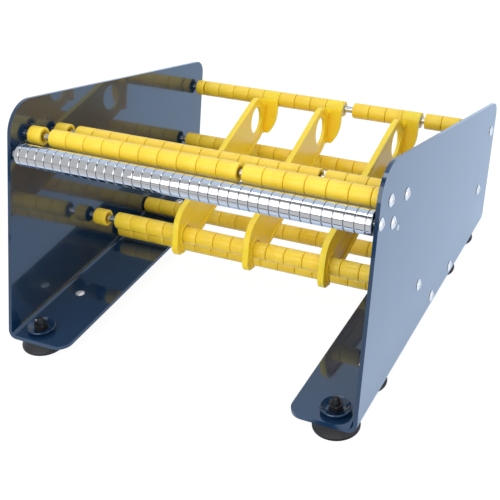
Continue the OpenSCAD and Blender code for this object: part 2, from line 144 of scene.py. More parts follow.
# %% Hand a mesh over to its CAD node
def piece(bm, name, *nodes, crease=35):
    """Make a piece of a bmesh, in the place of one or more CAD nodes."""
    bmesh.ops.recalc_face_normals(bm, faces=bm.faces)
    mesh = bpy.data.meshes.new(name)
    bm.to_mesh(mesh)
    bm.free()
    mesh.shade_smooth()
    mesh.set_sharp_from_angle(angle=radians(crease))
    obj = bpy.data.objects.new(name, mesh)
    scene.collection.objects.link(obj)
    mesh.materials.append(finishes[slot_of[nodes[0]]])
    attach(obj, body_of[nodes[0]])
    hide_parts(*nodes)
    return obj

# %% [markdown]
# ## Shared surface effects
#
# Real surfaces are never quite even. Three small effects serve several materials, so
# each is a node group that is built once: a grain for moulded and painted faces, the
# fine lines that a lathe or brush leaves on metal, and a little dust on what faces up.
# The helpers come first, because floor and room use them too.

# %% Node helpers
def feed(tree, value, socket):
    """Link a value that is a socket, or write down a number or a colour."""
    if isinstance(value, bpy.types.NodeSocket):
        tree.links.new(value, socket)
    elif isinstance(value, tuple):
        socket.default_value = (*value, 1)
    else:
        socket.default_value = value


def math_node(tree, operation, *values, clamp=False):
    node = tree.nodes.new("ShaderNodeMath")
    node.operation = operation
    node.use_clamp = clamp
    for socket, value in zip(node.inputs, values):
        feed(tree, value, socket)
    return node.outputs[0]


def times(tree, first, second, clamp=False):
    return math_node(tree, "MULTIPLY", first, second, clamp=clamp)


def noise(tree, vector, scale, detail=2.0):
    node = tree.nodes.new("ShaderNodeTexNoise")
    node.inputs["Detail"].default_value = detail
    tree.links.new(vector, node.inputs["Vector"])
    feed(tree, scale, node.inputs["Scale"])
    return node.outputs["Fac"]


def object_place(tree):
    return tree.nodes.new("ShaderNodeTexCoord").outputs["Object"]


def take_apart(tree, vector):
    """The X, Y and Z of a vector."""
    node = tree.nodes.new("ShaderNodeSeparateXYZ")
    tree.links.new(vector, node.inputs[0])
    return node.outputs


def new_group(name, inputs, outputs):
    tree = bpy.data.node_groups.new(name, "ShaderNodeTree")
    for label, value in inputs.items():
        socket = tree.interface.new_socket(label, in_out="INPUT", socket_type="NodeSocketFloat")
        socket.default_value = value
    for label in outputs:
        tree.interface.new_socket(label, in_out="OUTPUT", socket_type="NodeSocketFloat")
    given = tree.nodes.new("NodeGroupInput").outputs
    result = tree.nodes.new("NodeGroupOutput").inputs
    return tree, given, result


# %% Grain: an even, fine unevenness
grain_defaults = {"Scale": 800.0, "Waves": 0.5}
grain_mottle_scale = 45.0
broad_share = 0.13
grain_tree, given, result = new_group("moulded_grain", grain_defaults, ["Height", "Mottle"])
place = object_place(grain_tree)
fine = noise(grain_tree, place, given["Scale"], detail=3.0)
broad = noise(grain_tree, place, times(grain_tree, given["Scale"], broad_share))
waves = times(grain_tree, broad, given["Waves"])
grain_tree.links.new(math_node(grain_tree, "ADD", fine, waves), result["Height"])
mottle = noise(grain_tree, place, grain_mottle_scale, detail=3.0)
grain_tree.links.new(mottle, result["Mottle"])

# %% Tool lines: streaks along X, or rings round it
lines_defaults = {"Along": 4.0, "Across": 1500.0}
lines_mottle_scale = 60.0
lines_tree, given, result = new_group("tool_lines", lines_defaults, ["Height", "Mottle"])
place = object_place(lines_tree)
apart = take_apart(lines_tree, place)
joined = lines_tree.nodes.new("ShaderNodeCombineXYZ")
for axis, label in zip("XYZ", ("Along", "Across", "Across")):
    lines_tree.links.new(times(lines_tree, apart[axis], given[label]), joined.inputs[axis])
streaks = noise(lines_tree, joined.outputs[0], 1.0, detail=4.0)
lines_tree.links.new(streaks, result["Height"])
mottle = noise(lines_tree, place, lines_mottle_scale, detail=3.0)
lines_tree.links.new(mottle, result["Mottle"])

# %% Dust: thin and patchy, on faces that look up
dust_scale = 90.0
dust_tree, given, result = new_group("light_dust", {"Amount": 0.1}, ["Mask"])
normal = dust_tree.nodes.new("ShaderNodeNewGeometry").outputs["Normal"]
upward = math_node(dust_tree, "MAXIMUM", take_apart(dust_tree, normal)["Z"], 0.0)
upward = math_node(dust_tree, "POWER", upward, 2.0)
patches = noise(dust_tree, object_place(dust_tree), dust_scale, detail=5.0)
mask = times(dust_tree, times(dust_tree, patches, upward), given["Amount"], clamp=True)
dust_tree.links.new(mask, result["Mask"])
print("node groups:", [group.name for group in bpy.data.node_groups])

# %% [markdown]
# ## A base for every finish
#
# Each finish starts from one Principled shader. What is the same all over, such as the
# gloss of a coat, is written straight on the shader. What changes over the surface comes
# from the groups above, through colour, roughness and bump.

# %% Start a finish
def finish(slot, colour, roughness, **sockets):
    """A material for a slot. Other shader sockets are named with _ for a space."""
    material = bpy.data.materials.new(slot)
    material.use_nodes = True
    tree = material.node_tree
    shader = tree.nodes["Principled BSDF"]
    shader.inputs["Base Color"].default_value = (*colour, 1)
    shader.inputs["Roughness"].default_value = roughness
    for label, value in sockets.items():
        shader.inputs[label.replace("_", " ")].default_value = value
    finishes[slot] = material
    return tree, shader


def use_group(tree, group, **values):
    node = tree.nodes.new("ShaderNodeGroup")
    node.node_tree = group
    for label, value in values.items():
        node.inputs[label].default_value = value
    return node.outputs


def blend_colour(tree, mask, first, second):
    """The first colour where the mask is 0 and the second where it is 1."""
    first_socket, second_socket, blended_socket = 6, 7, 2
    mix = tree.nodes.new("ShaderNodeMix")
    mix.data_type = "RGBA"
    tree.links.new(mask, mix.inputs["Factor"])
    feed(tree, first, mix.inputs[first_socket])
    feed(tree, second, mix.inputs[second_socket])
    return mix.outputs[blended_socket]


def dusty(tree, colour, dust_colour, amount):
    dust = use_group(tree, dust_tree, Amount=amount)
    return blend_colour(tree, dust["Mask"], colour, dust_colour)


def spread(tree, value, low, high):
    """Stretch the usual range of a noise to a range of its own."""
    usual_low, usual_high = 0.3, 0.7
    node = tree.nodes.new("ShaderNodeMapRange")
    node.inputs["From Min"].default_value = usual_low
    node.inputs["From Max"].default_value = usual_high
    node.inputs["To Min"].default_value = low
    node.inputs["To Max"].default_value = high
    tree.links.new(value, node.inputs["Value"])
    return node.outputs[0]


def bump(tree, shader, height, depth, coat=False):
    """Let a height shape the shading, over a depth in millimetres."""
    node = tree.nodes.new("ShaderNodeBump")
    node.inputs["Distance"].default_value = depth * MM
    node.inputs["Strength"].default_value = 1.0
    tree.links.new(height, node.inputs["Height"])
    tree.links.new(node.outputs[0], shader.inputs["Normal"])
    if coat:
        tree.links.new(node.outputs[0], shader.inputs["Coat Normal"])


def texture(tree, shader, colour, effect, smooth, rough, depth, coat=False):
    """Link a colour, and let an effect vary the roughness and the bump."""
    tree.links.new(colour, shader.inputs["Base Color"])
    tree.links.new(spread(tree, effect["Mottle"], smooth, rough), shader.inputs["Roughness"])
    bump(tree, shader, effect["Height"], depth, coat)

# %% [markdown]
# ## Paint
#
# The plates carry a smooth gloss coat in dark petrol blue. Seen from the side they act
# as a dull mirror, so most of their brightness is reflection. A dark colour under a
# strong clear coat does that, and a faint waviness keeps the reflections from looking
# like glass. The cup washers wear the same paint.

# %% Gloss paint for the plates and washers
paint = (0.004, 0.024, 0.066)
paint_low = (0.0035, 0.021, 0.060)
paint_high = (0.005, 0.027, 0.072)
paint_dust = (0.4, 0.42, 0.45)
blue_tint = (0.5, 0.75, 1, 1)
coat = {"Coat_Weight": 1.0, "Coat_Roughness": 0.02, "Coat_IOR": 1.65}
for slot in ("plate_paint", "washer_paint"):
    tree, shader = finish(slot, paint, roughness=0.15, IOR=1.5, Specular_Tint=blue_tint, **coat)
    grain = use_group(tree, grain_tree, Scale=700.0, Waves=2.0)
    colour = blend_colour(tree, grain["Mottle"], paint_low, paint_high)
    colour = dusty(tree, colour, paint_dust, amount=0.015)
    texture(tree, shader, colour, grain, smooth=0.12, rough=0.2, depth=0.004, coat=True)

# %% [markdown]
# ## Yellow plastics
#
# The rings are moulded in a warm, satin yellow. No two rings of a batch match exactly,
# so each gets its own slight tone from a noise that is looked up once per ring width.
# The guides are the same plastic in thin walls, where light shines through a little.

# %% Ring plastic
ring_pitch = 16.4 * MM
ring_yellow = (0.90, 0.68, 0.05)
ring_yellow_low = (0.84, 0.585, 0.032)
ring_yellow_high = (0.88, 0.635, 0.045)
plastic_dust = (0.8, 0.72, 0.5)
red_deepest = (1.0, 0.6, 0.1)
shine_through = {"Subsurface_Weight": 0.08, "Subsurface_Scale": 0.002}
shine_through["Subsurface_Radius"] = red_deepest
tree, shader = finish("ring_plastic", ring_yellow, roughness=0.28, IOR=1.48, **shine_through)
grain = use_group(tree, grain_tree, Scale=2600.0, Waves=0.6)
along = take_apart(tree, object_place(tree))["X"]
which = math_node(tree, "FLOOR", math_node(tree, "DIVIDE", along, ring_pitch))
lot = tree.nodes.new("ShaderNodeTexWhiteNoise")
lot.noise_dimensions = "1D"
tree.links.new(which, lot.inputs["W"])
tone = blend_colour(tree, lot.outputs["Value"], ring_yellow_low, ring_yellow_high)
colour = dusty(tree, tone, plastic_dust, amount=0.10)
texture(tree, shader, colour, grain, smooth=0.22, rough=0.34, depth=0.006)

# %% Guide plastic
guide_yellow = (0.88, 0.58, 0.03)
guide_yellow_low = (0.92, 0.63, 0.018)
guide_yellow_high = (0.95, 0.68, 0.028)
shine_through = {"Subsurface_Weight": 0.6, "Subsurface_Scale": 0.008}
shine_through["Subsurface_Radius"] = red_deepest
tree, shader = finish("guide_plastic", guide_yellow, roughness=0.33, IOR=1.5, **shine_through)
grain = use_group(tree, grain_tree, Scale=2200.0, Waves=1.0)
tone = blend_colour(tree, grain["Mottle"], guide_yellow_low, guide_yellow_high)
colour = dusty(tree, tone, plastic_dust, amount=0.10)
texture(tree, shader, colour, grain, smooth=0.28, rough=0.4, depth=0.008)

# %% Bearing plastic inside the hubs
natural = (0.75, 0.68, 0.5)
natural_low = (0.72, 0.65, 0.47)
natural_high = (0.78, 0.72, 0.54)
tree, shader = finish("bush_plastic", natural, roughness=0.4, IOR=1.5)
grain = use_group(tree, grain_tree, Scale=2000.0, Waves=0.5)
tone = blend_colour(tree, grain["Mottle"], natural_low, natural_high)
tree.links.new(tone, shader.inputs["Base Color"])
bump(tree, shader, grain["Height"], depth=0.006)

# %% [markdown]
# ## Metals
#
# Chrome shows little but its surroundings, so it only needs a very faint turning mark.
# The shafts and the tie bar are duller, each with its own mix of tool lines, and the
# screws are plated so pale that they are nearly white.

# %% Chrome, steel and zinc
# Light and dark colour, least and most roughness, lines along X and across it, their
# depth in millimetres, and how metallic the surface is.
metals = {
    "roller_chrome": ((0.88, 0.88, 0.89), (0.84, 0.85, 0.86), 0.02, 0.05, 900.0, 300.0, 0.0005, 1.0),
    "bright_steel": ((0.72, 0.71, 0.69), (0.62, 0.62, 0.61), 0.18, 0.30, 2500.0, 200.0, 0.003, 1.0),
    "screw_steel": ((0.95, 0.95, 0.95), (0.86, 0.86, 0.87), 0.26, 0.38, 1500.0, 1500.0, 0.003, 0.6),
    "bar_metal": ((0.30, 0.33, 0.37), (0.24, 0.27, 0.31), 0.35, 0.48, 6.0, 2500.0, 0.004, 1.0),
}
for slot, (light, dark, smooth, rough, along, across, depth, metallic) in metals.items():
    tree, shader = finish(slot, light, smooth, Metallic=metallic)
    lines = use_group(tree, lines_tree, Along=along, Across=across)
    colour = blend_colour(tree, lines["Mottle"], dark, light)
    texture(tree, shader, colour, lines, smooth, rough, depth)

# %% [markdown]
# The bottom of the roller's narrow grooves is given a darker colour, as painted shade in
# the grooves. The distance from the roller's axis tells where that is.

# %% Painted shade on the floors of the roller's grooves
def vector_node(tree, operation, vector, given=None):
    node = tree.nodes.new("ShaderNodeVectorMath")
    node.operation = operation
    tree.links.new(vector, node.inputs[0])
    if given is not None:
        node.inputs[1].default_value = given
    return node.outputs


# Painted shade: the groove floors get a darker chrome colour.
shaded_below = 0.12 * MM
groove_shade_colour = (0.58, 0.58, 0.60)
low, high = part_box("peel_roller")
tree = finishes["roller_chrome"].node_tree
colour_in = tree.nodes["Principled BSDF"].inputs["Base Color"]
from_axis = vector_node(tree, "SUBTRACT", object_place(tree), (low + high) / 2)[0]
sideways = vector_node(tree, "MULTIPLY", from_axis, (0, 1, 1))[0]
radius = vector_node(tree, "LENGTH", sideways)["Value"]
groove_shade_mask = math_node(tree, "LESS_THAN", radius, (high.z - low.z) / 2 - shaded_below)
chrome = colour_in.links[0].from_socket
tree.links.new(blend_colour(tree, groove_shade_mask, chrome, groove_shade_colour), colour_in)

# %% [markdown]
# ## Black parts
#
# The feet are matt rubber with a fine skin, and their studs and nuts are blackened
# steel, which shines a little where the oxide is thin.

# %% Rubber and blackened steel
rubber = (0.012, 0.012, 0.013)
rubber_dust = (0.2, 0.2, 0.19)
tree, shader = finish("foot_rubber", rubber, roughness=0.55, IOR=1.5)
grain = use_group(tree, grain_tree, Scale=3000.0, Waves=0.5)
colour = dusty(tree, rubber, rubber_dust, amount=0.12)
texture(tree, shader, colour, grain, smooth=0.45, rough=0.62, depth=0.03)

oxide = (0.02, 0.021, 0.024)
oxide_thick = (0.015, 0.016, 0.018)
oxide_thin = (0.035, 0.036, 0.04)
tree, shader = finish("black_steel", oxide, roughness=0.3, Metallic=0.6)
lines = use_group(tree, lines_tree, Along=1200.0, Across=1200.0)
colour = blend_colour(tree, lines["Mottle"], oxide_thick, oxide_thin)
texture(tree, shader, colour, lines, smooth=0.24, rough=0.4, depth=0.006)
print("finishes:", sorted(finishes))

# %% [markdown]
# ## Side plates, tie bar and guides
#
# Sheet that is folded, and plastic that comes out of a mould, have no razor edges. The
# CAD shapes are right but sharp. A merged copy with a small bevel on its sharp edges
# keeps the shape, and each rim then catches a line of light. The bevel stays a modifier
# because it also keeps the large flat faces perfectly flat in the shading.

# %% Ease the edges of a CAD shape
flat_angle = 1
sharp_angle = 40
bevel_steps = 3


def eased(node, name, width):
    """A CAD shape whose sharp edges are rounded over a width in millimetres."""
    bm = merged(node)
    flat = radians(flat_angle)
    bmesh.ops.dissolve_limit(bm, angle_limit=flat, verts=bm.verts, edges=bm.edges)
    easing = piece(bm, name, node, crease=sharp_angle).modifiers.new("eased_edges", "BEVEL")
    easing.width = width * MM
    easing.segments = bevel_steps
    easing.limit_method = "ANGLE"
    easing.angle_limit = radians(sharp_angle)
    easing.harden_normals = True


# The name of each piece, and how wide its edges are rounded in millimetres.
eased_pieces = {
    "left_side_plate": ("painted_left_plate", 0.5),
    "right_side_plate": ("painted_right_plate", 0.5),
    "tie_bar": ("drawn_tie_bar", 0.8),
    "guide_1": ("moulded_guide_1", 0.5),
    "guide_2": ("moulded_guide_2", 0.5),
    "guide_3": ("moulded_guide_3", 0.5),
}
for node, (name, width) in eased_pieces.items():
    eased(node, name, width)
print("eased:", list(eased_pieces))

# %% [markdown]
# ## Turned pieces
#
# Rings, rods, the roller, feet and washers are all round, so each is an outline spun
# once about its axis, as on a lathe. The outline is given as pairs: the place along the
# axis and the radius, in millimetres. Where both ends are alike, half of the outline is
# written down, and the other half is its mirror image.

# %% Spin an outline about a line along X or Z
ALONG = Vector((1, 0, 0))
UP = Vector((0, 0, 1))


def turn(bm, outline, at, upright=False, steps=48, closed=True):
    """Spin an outline round the line through the point at, along X or upright."""
    way, out = (UP, ALONG) if upright else (ALONG, UP)
    verts = [bm.verts.new(at + way * a * MM + out * r * MM) for a, r in outline]
    first = 0 if closed else 1
    edges = [bm.edges.new((verts[i - 1], verts[i])) for i in range(first, len(verts))]
    geometry = verts + edges
    bmesh.ops.spin(bm, geom=geometry, cent=at, axis=way, angle=2 * pi, steps=steps, use_merge=True)
    bmesh.ops.remove_doubles(bm, verts=bm.verts, dist=fine_weld)


def corner(a, r, e, first, last, steps=3):
    """Points of a rounded corner of radius e about (a, r), between two angles."""
    angles = [radians(first + (last - first) * i / steps) for i in range(steps + 1)]
    return [(a + e * cos(t), r + e * sin(t)) for t in angles]


def both_ends(half, length):
    return half + [(length - a, r) for a, r in reversed(half)]


def length_and_radius(low, high):
    """Of a round solid that lies along X, in millimetres."""
    return (high.x - low.x) / MM, (high.z - low.z) / MM / 2


def middle(low, high, x=None):
    """The axis of a round solid along X, at its low end or at x."""
    return Vector((low.x if x is None else x, (low.y + high.y) / 2, (low.z + high.z) / 2))


def upright_axis(low, high, z=0.0):
    """The axis of an upright round solid, at a height."""
    return Vector(((low.x + high.x) / 2, (low.y + high.y) / 2, z))

# %% [markdown]
# ## Rings
#
# A ring is a short tube with rounded rims. Both ends are recessed round the shaft, which
# shows as a dark circle wherever a run of rings stops.

# %% All rows of rings
ring_bore_r = 3.1
ring_rim = 0.7
recess_r = 4.8
recess_deep = 2.5
recess_rim = 0.2
ring_nodes = [node for node in slot_of if slot_of[node] == "ring_plastic"]
rings_made = 0
for node in ring_nodes:
    bm = bmesh.new()
    for low, high in solids(node):
        length, r = length_and_radius(low, high)
        half = [(recess_deep, ring_bore_r), (recess_deep, recess_r)]
        half += [(recess_rim, recess_r), (0, recess_r + recess_rim)]
        half += corner(ring_rim, r - ring_rim, ring_rim, 180, 90)
        turn(bm, both_ends(half, length), middle(low, high))
        rings_made += 1
    piece(bm, f"moulded_{node}", node)
print(rings_made, "rings in", len(ring_nodes), "runs")

# %% [markdown]
# ## Shafts, rod and bushes
#
# The shafts are bright steel rods with a tapped hole in each end. Their ends are
# chamfered, as on any rod that has been parted off in a lathe. An outline that starts
# and ends on the axis makes a solid piece, so it is left open.

# %% Rods and bushes
rod_rim = 0.4
bore_rim = 0.3
tapped_r = 2.05
tapped_deep = 14
drilled_deep = 15.2


def rod(node, name, tapped=False):
    bm = bmesh.new()
    low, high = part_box(node)
    length, r = length_and_radius(low, high)
    half = [(0, 0)]
    if tapped:
        half = [(drilled_deep, 0), (tapped_deep, tapped_r), (bore_rim, tapped_r)]
        half += [(0, tapped_r + bore_rim)]
    half += [(0, r - rod_rim), (rod_rim, r)]
    turn(bm, both_ends(half, length), middle(low, high), closed=False)
    piece(bm, name, node)


shaft_nodes = [node for node in slot_of if node.endswith("_shaft")]
for node in shaft_nodes:
    rod(node, f"turned_{node}", tapped=True)
rod("web_rod", "turned_web_rod")

for i in (1, 2, 3):
    bm = bmesh.new()
    low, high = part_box(f"guide_{i}_bush")
    length, r = length_and_radius(low, high)
    half = [(bore_rim, ring_bore_r), (0, ring_bore_r + bore_rim), (0, r - bore_rim), (bore_rim, r)]
    turn(bm, both_ends(half, length), middle(low, high))
    piece(bm, f"turned_bush_{i}", f"guide_{i}_bush")
print("rods:", shaft_nodes + ["web_rod"])

# %% [markdown]
# ## Peel roller
#
# The roller is what the eye goes to: a chromed tube with a thin groove every few
# millimetres. In the CAD model a groove is a plain V. Here it gets steep walls, a flat
# floor and eased lips, because it is the lips that flash white and black in the
# photograph. The places of the grooves are read from the CAD mesh: they are where its
# radius is least, apart from the two ends.

# %% Roller with grooves
neck_len, neck_r = 4.3, 4.5
neck_rim = 0.3
neck_fillet = 0.2
shoulder_e = 1.6
end_rim = 0.8
shoulder_len = 2
end_flat, end_round = 1.2, 0.25
mouth_r, bore_r = 3.4, 3.08
groove_deep = 0.8
near_enough = 0.02
lip = [(-0.9, 0), (-0.6, 0), (-0.48, -0.04), (-0.4, -0.12), (-0.34, -0.3), (-0.26, -0.7)]
lip += [(-0.18, -groove_deep)]

low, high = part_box("peel_roller")
at = middle(low, high)
length, roller_r = length_and_radius(low, high)
floor_r = roller_r - groove_deep
bm = merged("peel_roller")
floors = [v.co.x for v in bm.verts if abs((v.co.yz - at.yz).length / MM - floor_r) < near_enough]
bm.free()
from_left, from_right = 6 * MM, 1 * MM
floors = [x for x in floors if x - low.x > from_left and high.x - x > from_right]
grooves = sorted({round((x - at.x) / MM, 1) for x in floors})

outline = [(neck_rim, bore_r), (0, mouth_r), (0, neck_r - neck_rim), (neck_rim, neck_r)]
outline += [(neck_len - neck_fillet, neck_r), (neck_len, neck_r + neck_fillet)]
outline += corner(neck_len + shoulder_e, roller_r - shoulder_e, shoulder_e, 180, 90, steps=5)
outline += [(neck_len + shoulder_len, roller_r)]
for x in grooves:
    outline += [(x + a, roller_r + b) for a, b in lip]
    outline += [(x - a, roller_r + b) for a, b in reversed(lip)]
outline += [(length - end_flat, roller_r), (length - end_rim, roller_r)]
outline += [(length - end_round, roller_r - end_round)]
outline += [(length, roller_r - end_rim), (length, mouth_r), (length - neck_rim, bore_r)]
bm = bmesh.new()
turn(bm, outline, at, steps=72)
piece(bm, "turned_peel_roller", "peel_roller", crease=42)
print(len(grooves), "grooves, the first at", grooves[0], "mm")

# %% [markdown]
# ## Screws, nuts and studs
#
# A screw head with a hexagon socket isn't round all over, so it can't be spun. It is
# stacked instead: one loop of points is extruded again and again, and each new loop gets
# its own height, radius and shape. A loop on a hexagon keeps its points on the flats. A
# nut's chamfer comes from raising or lowering the points that lie outside the flats.

# %% Stack loops of points
hexagon_sides = [Vector((cos(t), sin(t))) for t in (pi / 6, pi / 2, 5 * pi / 6)]


def loop_edges(loop):
    ends = set(loop)
    return list({e for v in loop for e in v.link_edges if e.other_vert(v) in ends})


def stack(bm, levels, place, sides=24, capped=True):
    """Levels are (height, radius), or (height, flat, True, lean) for a hexagon."""
    loop = bmesh.ops.create_circle(bm, cap_ends=capped, radius=1, segments=sides)["verts"]
    made = []
    for number, (height, radius, *hexagon) in enumerate(levels):
        if number:
            grown = bmesh.ops.extrude_edge_only(bm, edges=loop_edges(loop))["geom"]
            loop = [g for g in grown if isinstance(g, bmesh.types.BMVert)]
        lean = hexagon[1] if len(hexagon) > 1 else 0
        for v in loop:
            way = v.co.xy.normalized()
            reach = radius
            if hexagon:
                reach = radius / max(abs(way.dot(side)) for side in hexagon_sides)
            v.co = (*(way * reach), height + lean * (reach - radius))
        made += loop
    if capped:
        bmesh.ops.contextual_create(bm, geom=loop_edges(loop))
    bmesh.ops.transform(bm, matrix=place @ Matrix.Scale(MM, 4), verts=made)
    bmesh.ops.remove_doubles(bm, verts=made, dist=fine_weld)


def facing(at, way, turned):
    """A place for a stack: its foot at the point at, its height along way."""
    aimed = way.to_track_quat("Z", "Y").to_matrix().to_4x4()
    return Matrix.Translation(at) @ aimed @ Matrix.Rotation(turned, 4, "Z")


# %% Socket screws
head_shares = (0.985, 0.92, 0.83, 0.72, 0.6, 0.5)
shaft_screw = {"thread_r": 2.0, "length": 14, "head_r": 4.75, "head_h": 2.4, "flat": 3.3}
foot_screw = {"thread_r": 2.0, "length": 11, "head_r": 4.0, "head_h": 2.0, "flat": 2.5}


def socket_screw(bm, place, thread_r, length, head_r, head_h, flat):
    """A low domed head on a plain shank. The socket is as wide across its flats as flat."""
    dome_r = (head_r * head_r + head_h * head_h) / (2 * head_h)

    def dome(r):
        return head_h - dome_r + (dome_r * dome_r - r * r) ** 0.5

    tip, undercut, edge_h, rim_h, mouth = 0.5, 0.6, 0.5, 0.65, 0.2
    cone_r, point_r = flat * 0.42, 0.1
    top = dome(flat * 0.7)
    floor_at, point_at = -0.4 * head_h, -0.6 * head_h
    levels = [(-length, thread_r - tip), (tip - length, thread_r), (0, thread_r)]
    levels += [(0, head_r - undercut), (edge_h, head_r)]
    levels += [(max(dome(head_r * share), rim_h), head_r * share) for share in head_shares]
    levels += [(top, flat / 2 + mouth, True), (top - mouth, flat / 2, True)]
    levels += [(floor_at, flat / 2, True), (floor_at, cone_r), (point_at, point_r)]
    stack(bm, levels, place)


# A head's foot lies this far below the top of its solid, and each screw stops at an
# angle of its own, so that the sockets don't line up.
shaft_seat = 3 * MM
shaft_turn, foot_turn = 0.7, 0.9
shaft_screw_sides = {"left_shaft_screws": -1, "right_shaft_screws": 1}
for node, side in shaft_screw_sides.items():
    bm = bmesh.new()
    for number, (low, high) in enumerate(solids(node)):
        face = (high.x - shaft_seat) if side > 0 else (low.x + shaft_seat)
        place = facing(middle(low, high, face), Vector((side, 0, 0)), shaft_turn * number)
        socket_screw(bm, place, **shaft_screw)
    piece(bm, f"pressed_{node}", node, crease=32)

foot_seat = 2 * MM
bm = bmesh.new()
for number, (low, high) in enumerate(solids("foot_screws")):
    at = upright_axis(low, high, high.z - foot_seat)
    socket_screw(bm, facing(at, UP, foot_turn * number), **foot_screw)
piece(bm, "pressed_foot_screws", "foot_screws", crease=32)
print("screws:", {node: len(solids(node)) for node in (*shaft_screw_sides, "foot_screws")})

# %% Nuts with chamfered corners
nut_flat, nut_bore_r, nut_mouth_r = 5.0, 3.05, 3.4
nut_mouth_deep, nut_face, nut_lead = 0.4, 0.15, 0.05
nut_first_turn, nut_turn = 0.4, 0.8
slope = tan(radians(30))
bm = bmesh.new()
for number, (low, high) in enumerate(solids("foot_nuts")):
    h = (high.z - low.z) / MM
    levels = [(nut_mouth_deep, nut_bore_r), (0, nut_mouth_r), (0, nut_flat - nut_face)]
    levels += [(nut_lead, nut_flat, True, slope), (h - nut_lead, nut_flat, True, -slope)]
    levels += [(h, nut_flat - nut_face), (h, nut_mouth_r)]
    levels += [(h - nut_mouth_deep, nut_bore_r), (nut_mouth_deep, nut_bore_r)]
    place = facing(upright_axis(low, high, low.z), UP, nut_first_turn + nut_turn * number)
    stack(bm, levels, place, sides=48, capped=False)
piece(bm, "pressed_foot_nuts", "foot_nuts", crease=32)
print("nuts:", number + 1)

# %% [markdown]
# The studs show a few turns of thread and a domed tip. A thread is a small wedge that is
# spun many times round while each step also lifts it a little.

# %% Studs with a real thread
pitch = 1.0
thread_steps = 24
thread_start, thread_end = 14.3, 1.4
wedge = [(13.4, 2.42), (13.79, 2.97), (13.91, 2.97), (thread_start, 2.42)]
head_r, head_h, head_rim = 6, 3, 0.3
stud_r, root_r = 3, 2.5
plain_end, root_start = 12.6, 13.2
tip = [(-1.3, root_r), (-0.7, 2.2), (-0.25, 1.4), (0, 0)]
bm = bmesh.new()
for low, high in solids("foot_studs"):
    foot = upright_axis(low, high)
    base, top = low.z / MM, high.z / MM
    shoulder = base + head_h
    core = [(base, 0), (base, head_r - head_rim), (base + head_rim, head_r)]
    core += [(shoulder - head_rim, head_r), (shoulder, head_r - head_rim), (shoulder, stud_r)]
    core += [(plain_end, stud_r), (root_start, root_r)] + [(top + a, r) for a, r in tip]
    turn(bm, core, foot, upright=True, closed=False)
    verts = [bm.verts.new(foot + Vector((r, 0, a)) * MM) for a, r in wedge]
    face = bm.faces.new(verts)
    turns = int(top - thread_end - thread_start)
    bmesh.ops.spin(bm, geom=verts + list(face.edges) + [face], cent=foot, axis=UP,
                   dvec=UP * (pitch * MM / thread_steps), angle=2 * pi * turns,
                   steps=thread_steps * turns)
piece(bm, "threaded_studs", "foot_studs", crease=30)
print("turns of thread on a stud:", turns)

# %% [markdown]
# ## Feet and cup washers
#
# Each foot is a round rubber pad, wider at the table. The end feet are moulded round the
# head of a stud, and the middle ones round the end of a screw. The dished washer under
# each nut is painted like the plates.

# %% Feet
pad_r, bead_r, top_r = 17, 17.3, 14
stud_stem_r, screw_stem_r = 3.05, 2.05
pocket_low, pocket_high, pocket_r = 3.45, 6.55, 6.05
foot_nodes = [node for node in slot_of if slot_of[node] == "foot_rubber"]
for node in foot_nodes:
    low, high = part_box(node)
    h = high.z / MM
    holds_stud = "middle" not in node
    stem_r = stud_stem_r if holds_stud else screw_stem_r
    outline = [(0, 0), (0.5, 11), (0.0, 12.5), (0, pad_r)] + corner(1.0, pad_r, 1.0, 180, 90)[1:]
    outline += corner(2.2, bead_r, 0.7, 90, 45)[:3] + [(3.2, bead_r + 0.05), (3.6, pad_r)]
    outline += [(h - 1.3, top_r + 1.1)] + corner(h - 1, top_r, 1.0, 60, 0)
    outline += [(h, 3.6), (h - 0.4, stem_r), (pocket_high, stem_r)]
    if holds_stud:
        outline += [(pocket_high, pocket_r), (pocket_low, pocket_r), (pocket_low, 0)]
    else:
        outline += [(pocket_low, stem_r), (pocket_low, 0)]
    bm = bmesh.new()
    turn(bm, outline, upright_axis(low, high), upright=True, steps=64, closed=False)
    piece(bm, f"rubber_{node}", node, crease=50)
print(len(foot_nodes), "feet")

# %% Cup washers
sheet = 1.2
washer_bore_r, washer_mouth_r = 3.3, 3.5
edge, mouth, bend = 0.35, 0.2, 0.4
bm = bmesh.new()
for low, high in solids("foot_cup_washers"):
    h = (high.z - low.z) / MM
    r = (high.x - low.x) / MM / 2
    dish_r = r - h
    outline = [(mouth, washer_bore_r), (0, washer_mouth_r), (0, dish_r - bend), (0.15, dish_r + 0.2)]
    outline += [(h - sheet - 0.3, r - 0.25), (h - sheet + 0.2, r)]
    outline += [(h - edge, r), (h, r - edge), (h, r - sheet + edge), (h - edge, r - sheet)]
    outline += [(sheet + bend, dish_r - sheet / 2 + edge), (sheet, dish_r - sheet / 2 - bend)]
    outline += [(sheet, washer_mouth_r), (sheet - mouth, washer_bore_r)]
    turn(bm, outline, upright_axis(low, high, low.z), upright=True, steps=64)
piece(bm, "pressed_cup_washers", "foot_cup_washers", crease=40)
print("cup washers:", len(solids("foot_cup_washers")))

# %% [markdown]
# ## Floor, surroundings and lamps
#
# The dispenser stands on a pale floor in a bright, even room. The floor is white for the
# camera and keeps a soft shadow. Paint and chrome show what they mirror, so glossy rays
# see a floor of their own: grey in front, light blue behind, a darker blue under the
# device that is painted shade, and one dark seam that crosses it slantwise in front.

# %% Light helpers
def inside(tree, value, low, high, soft):
    """1 between low and high, falling to 0 over twice the width soft."""
    node = tree.nodes.new("ShaderNodeMapRange")
    node.interpolation_type = "SMOOTHSTEP"
    centre, half = (low + high) / 2, (high - low) / 2
    away = math_node(tree, "ABSOLUTE", math_node(tree, "SUBTRACT", value, centre))
    tree.links.new(away, node.inputs["Value"])
    node.inputs["From Min"].default_value = half - soft
    node.inputs["From Max"].default_value = half + soft
    node.inputs["To Min"].default_value = 1
    node.inputs["To Max"].default_value = 0
    return node.outputs[0]


def glow(tree, kind, colour, strength=1.0):
    node = tree.nodes.new(kind)
    feed(tree, colour, node.inputs["Color"])
    node.inputs["Strength"].default_value = strength
    return node.outputs[0]


